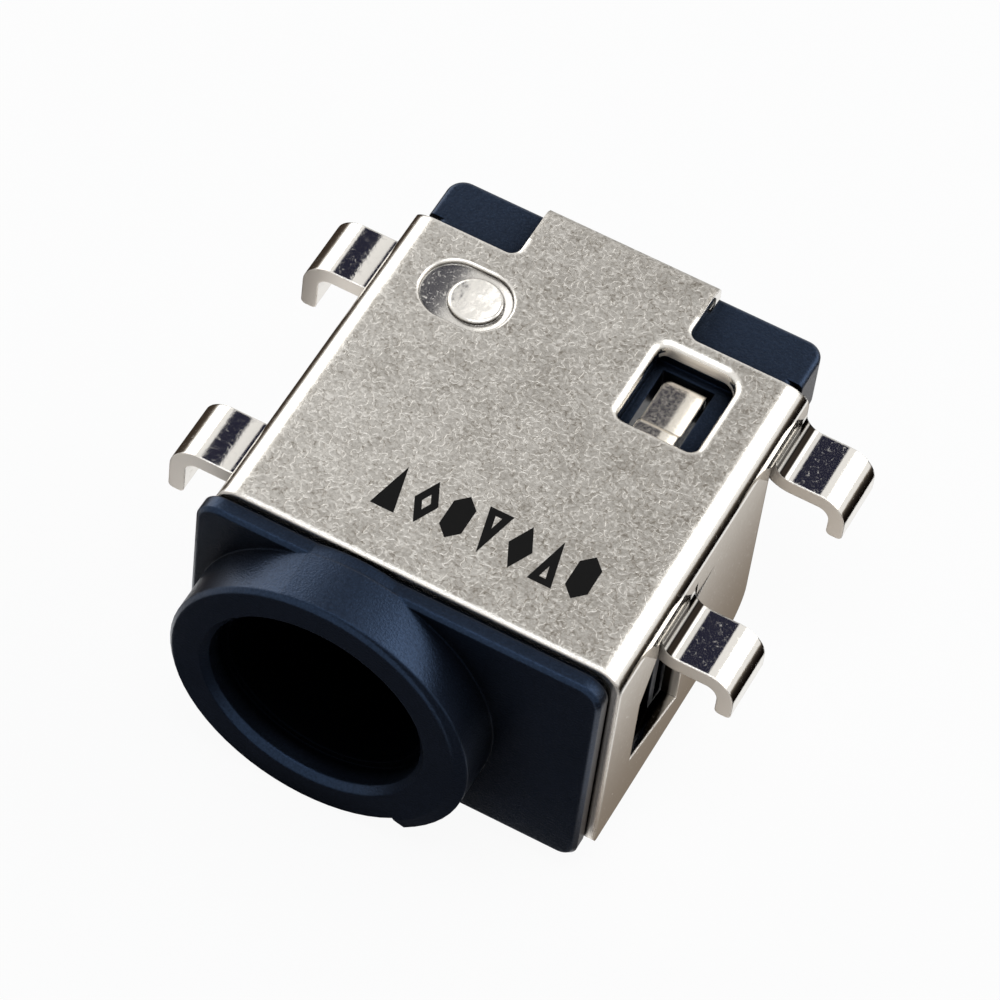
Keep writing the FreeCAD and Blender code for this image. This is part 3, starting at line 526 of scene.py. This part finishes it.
    # The left hooks are very slightly crowned, the stamped oval is dished, and its boss is
    # dented.
    from_crown = add("Math", {0: place["X"], 1: HOOK_CROWN_X * MM}, operation="SUBTRACT")
    on_left_hooks = add("Math", {0: place["X"], 1: LEFT_WALL * MM}, operation="LESS_THAN")
    crown = add("Math", {
        0: bowed(add, from_crown, -HOOK_CROWN_RADIUS), 1: on_left_hooks,
    }, operation="MULTIPLY")
    from_dish = add("Math", {0: place["X"], 1: DISH_X * MM}, operation="SUBTRACT")
    dish = add("Math", {
        0: bowed(add, from_dish, DISH_RADIUS), 1: stamped,
    }, operation="MULTIPLY")
    dents = add("TexNoise", {"Vector": where, "Scale": 1 / (DENTS * MM)})
    dents = add("Math", {0: dents, 1: 0.022 * MM}, operation="MULTIPLY")
    dents = add("Math", {0: dents, 1: on_boss}, operation="MULTIPLY")
    swell = add("Math", {0: crown, 1: dish}, operation="ADD")
    swell = add("Math", {0: swell, 1: dents}, operation="ADD")
    swollen = add("Bump", {
        "Height": swell, "Distance": 1.0, "Strength": 1.0, "Normal": rounded,
    })
    height = add("Math", {0: relief, 1: 0.35, 2: grain}, operation="MULTIPLY_ADD")
    depth = add("MapRange", {"Value": rolled, "To Min": 0.06, "To Max": 1.0})
    height = add("Math", {0: height, 1: depth}, operation="MULTIPLY")
    bump = add("Bump", {
        "Height": height, "Distance": 0.014 * MM, "Strength": 0.7, "Normal": swollen,
    })
    shader = add("BsdfPrincipled", {
        "Base Color": skin, "Metallic": 1.0, "Roughness": rough, "Normal": bump,
    })
    add("OutputMaterial", {"Surface": shader})
    return material


dress("shield_shell", nickel_sheet("nickel_plated_sheet", "E6E2DB"))


# The top plate is marked last, in black pad-printing ink, which lies on it as a thin matt
# film.  The marks are plain triangles, diamonds and hexagons, solid or outlined.
INK_TOP = 4.206
INK_UNDER = 4.199
INK_CLOUDS = 0.13
MARK_X, MARK_PITCH = (-0.22, 0.875)
MARK_Y, MARK_HEIGHT = (3.5, 1.42)
STROKE = 0.19
TRIANGLE = ((-0.33, 0.0), (0.33, 0.0), (0.0, 1.0))
TURNED_TRIANGLE = ((0.0, 0.0), (0.33, 1.0), (-0.33, 1.0))
DIAMOND = ((0.0, 0.0), (0.33, 0.5), (0.0, 1.0), (-0.33, 0.5))
HEXAGON = ((0.0, 0.0), (0.31, 0.22), (0.31, 0.78), (0.0, 1.0), (-0.31, 0.78), (-0.31, 0.22))


def moved_in(corners, depth):
    """A convex outline made smaller by depth.

    Each corner moves by depth times the sum of its two sides' inward normals, over one plus
    their scalar product, so that every side shifts by depth.
    """
    ahead = np.roll(corners, -1, axis=0) - corners
    ahead /= np.linalg.norm(ahead, axis=1, keepdims=True)
    inward = np.column_stack((-ahead[:, 1], ahead[:, 0]))
    before = np.roll(inward, 1, axis=0)
    product = (inward * before).sum(axis=1, keepdims=True)
    return corners + depth * (inward + before) / (1 + product)


def ink_shape(corners, solid):
    """A thin closed slab with the outline of the corners, or a frame of that outline.

    Each outline is a ring of points at the ink's underside and another at its top; a wall
    joins each point and the next of one ring to the same two of another.
    """
    count = len(corners)
    rings = [corners] if solid else [corners, moved_in(corners, STROKE)]
    levels = [np.column_stack((ring, np.full(count, level)))
              for ring in rings for level in (INK_UNDER, INK_TOP)]
    here = np.arange(count)
    after = (here + 1) % count

    def wall(low, high):
        return np.column_stack((here + low, after + low, after + high, here + high)).tolist()

    faces = wall(0, count)
    if solid:
        faces += [here[::-1].tolist(), (here + count).tolist()]
    else:
        faces += wall(3 * count, 2 * count) + wall(count, 3 * count) + wall(2 * count, 0)
    return np.concatenate(levels), faces


points, faces, used = [], [], 0
for slot, (shape, solid) in enumerate((
    (TRIANGLE, True), (DIAMOND, False), (HEXAGON, True), (TURNED_TRIANGLE, False),
    (DIAMOND, True), (TRIANGLE, False), (HEXAGON, True),
)):
    corners = np.array(shape) * (1.0, MARK_HEIGHT) + (MARK_X + slot * MARK_PITCH, MARK_Y)
    slab, sides = ink_shape(corners, solid)
    points.append(slab)
    faces += [[index + used for index in side] for side in sides]
    used += len(slab)
ink_mesh = bpy.data.meshes.new("plate_marks")
ink_mesh.from_pydata((np.concatenate(points) * MM).tolist(), [], faces)
plate_marks = bpy.data.objects.new("plate_marks", ink_mesh)
scene.collection.objects.link(plate_marks)
ink = bpy.data.materials.new("black_pad_ink")
tree = emptied(ink)
cloud = add_node(tree, "TexNoise", {
    "Vector": add_node(tree, "TexCoord").outputs["Object"], "Scale": 1 / (INK_CLOUDS * MM),
})
black = add_node(tree, "Mix", {"Factor": cloud, "A": "030303", "B": "0D0C0B"}, data_type="RGBA")
film = add_node(tree, "BsdfPrincipled", {
    "Base Color": black, "Roughness": 0.7, "Specular IOR Level": 0.1,
})
add_node(tree, "OutputMaterial", {"Surface": film})
ink_mesh.materials.append(ink)
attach(plate_marks, "root")
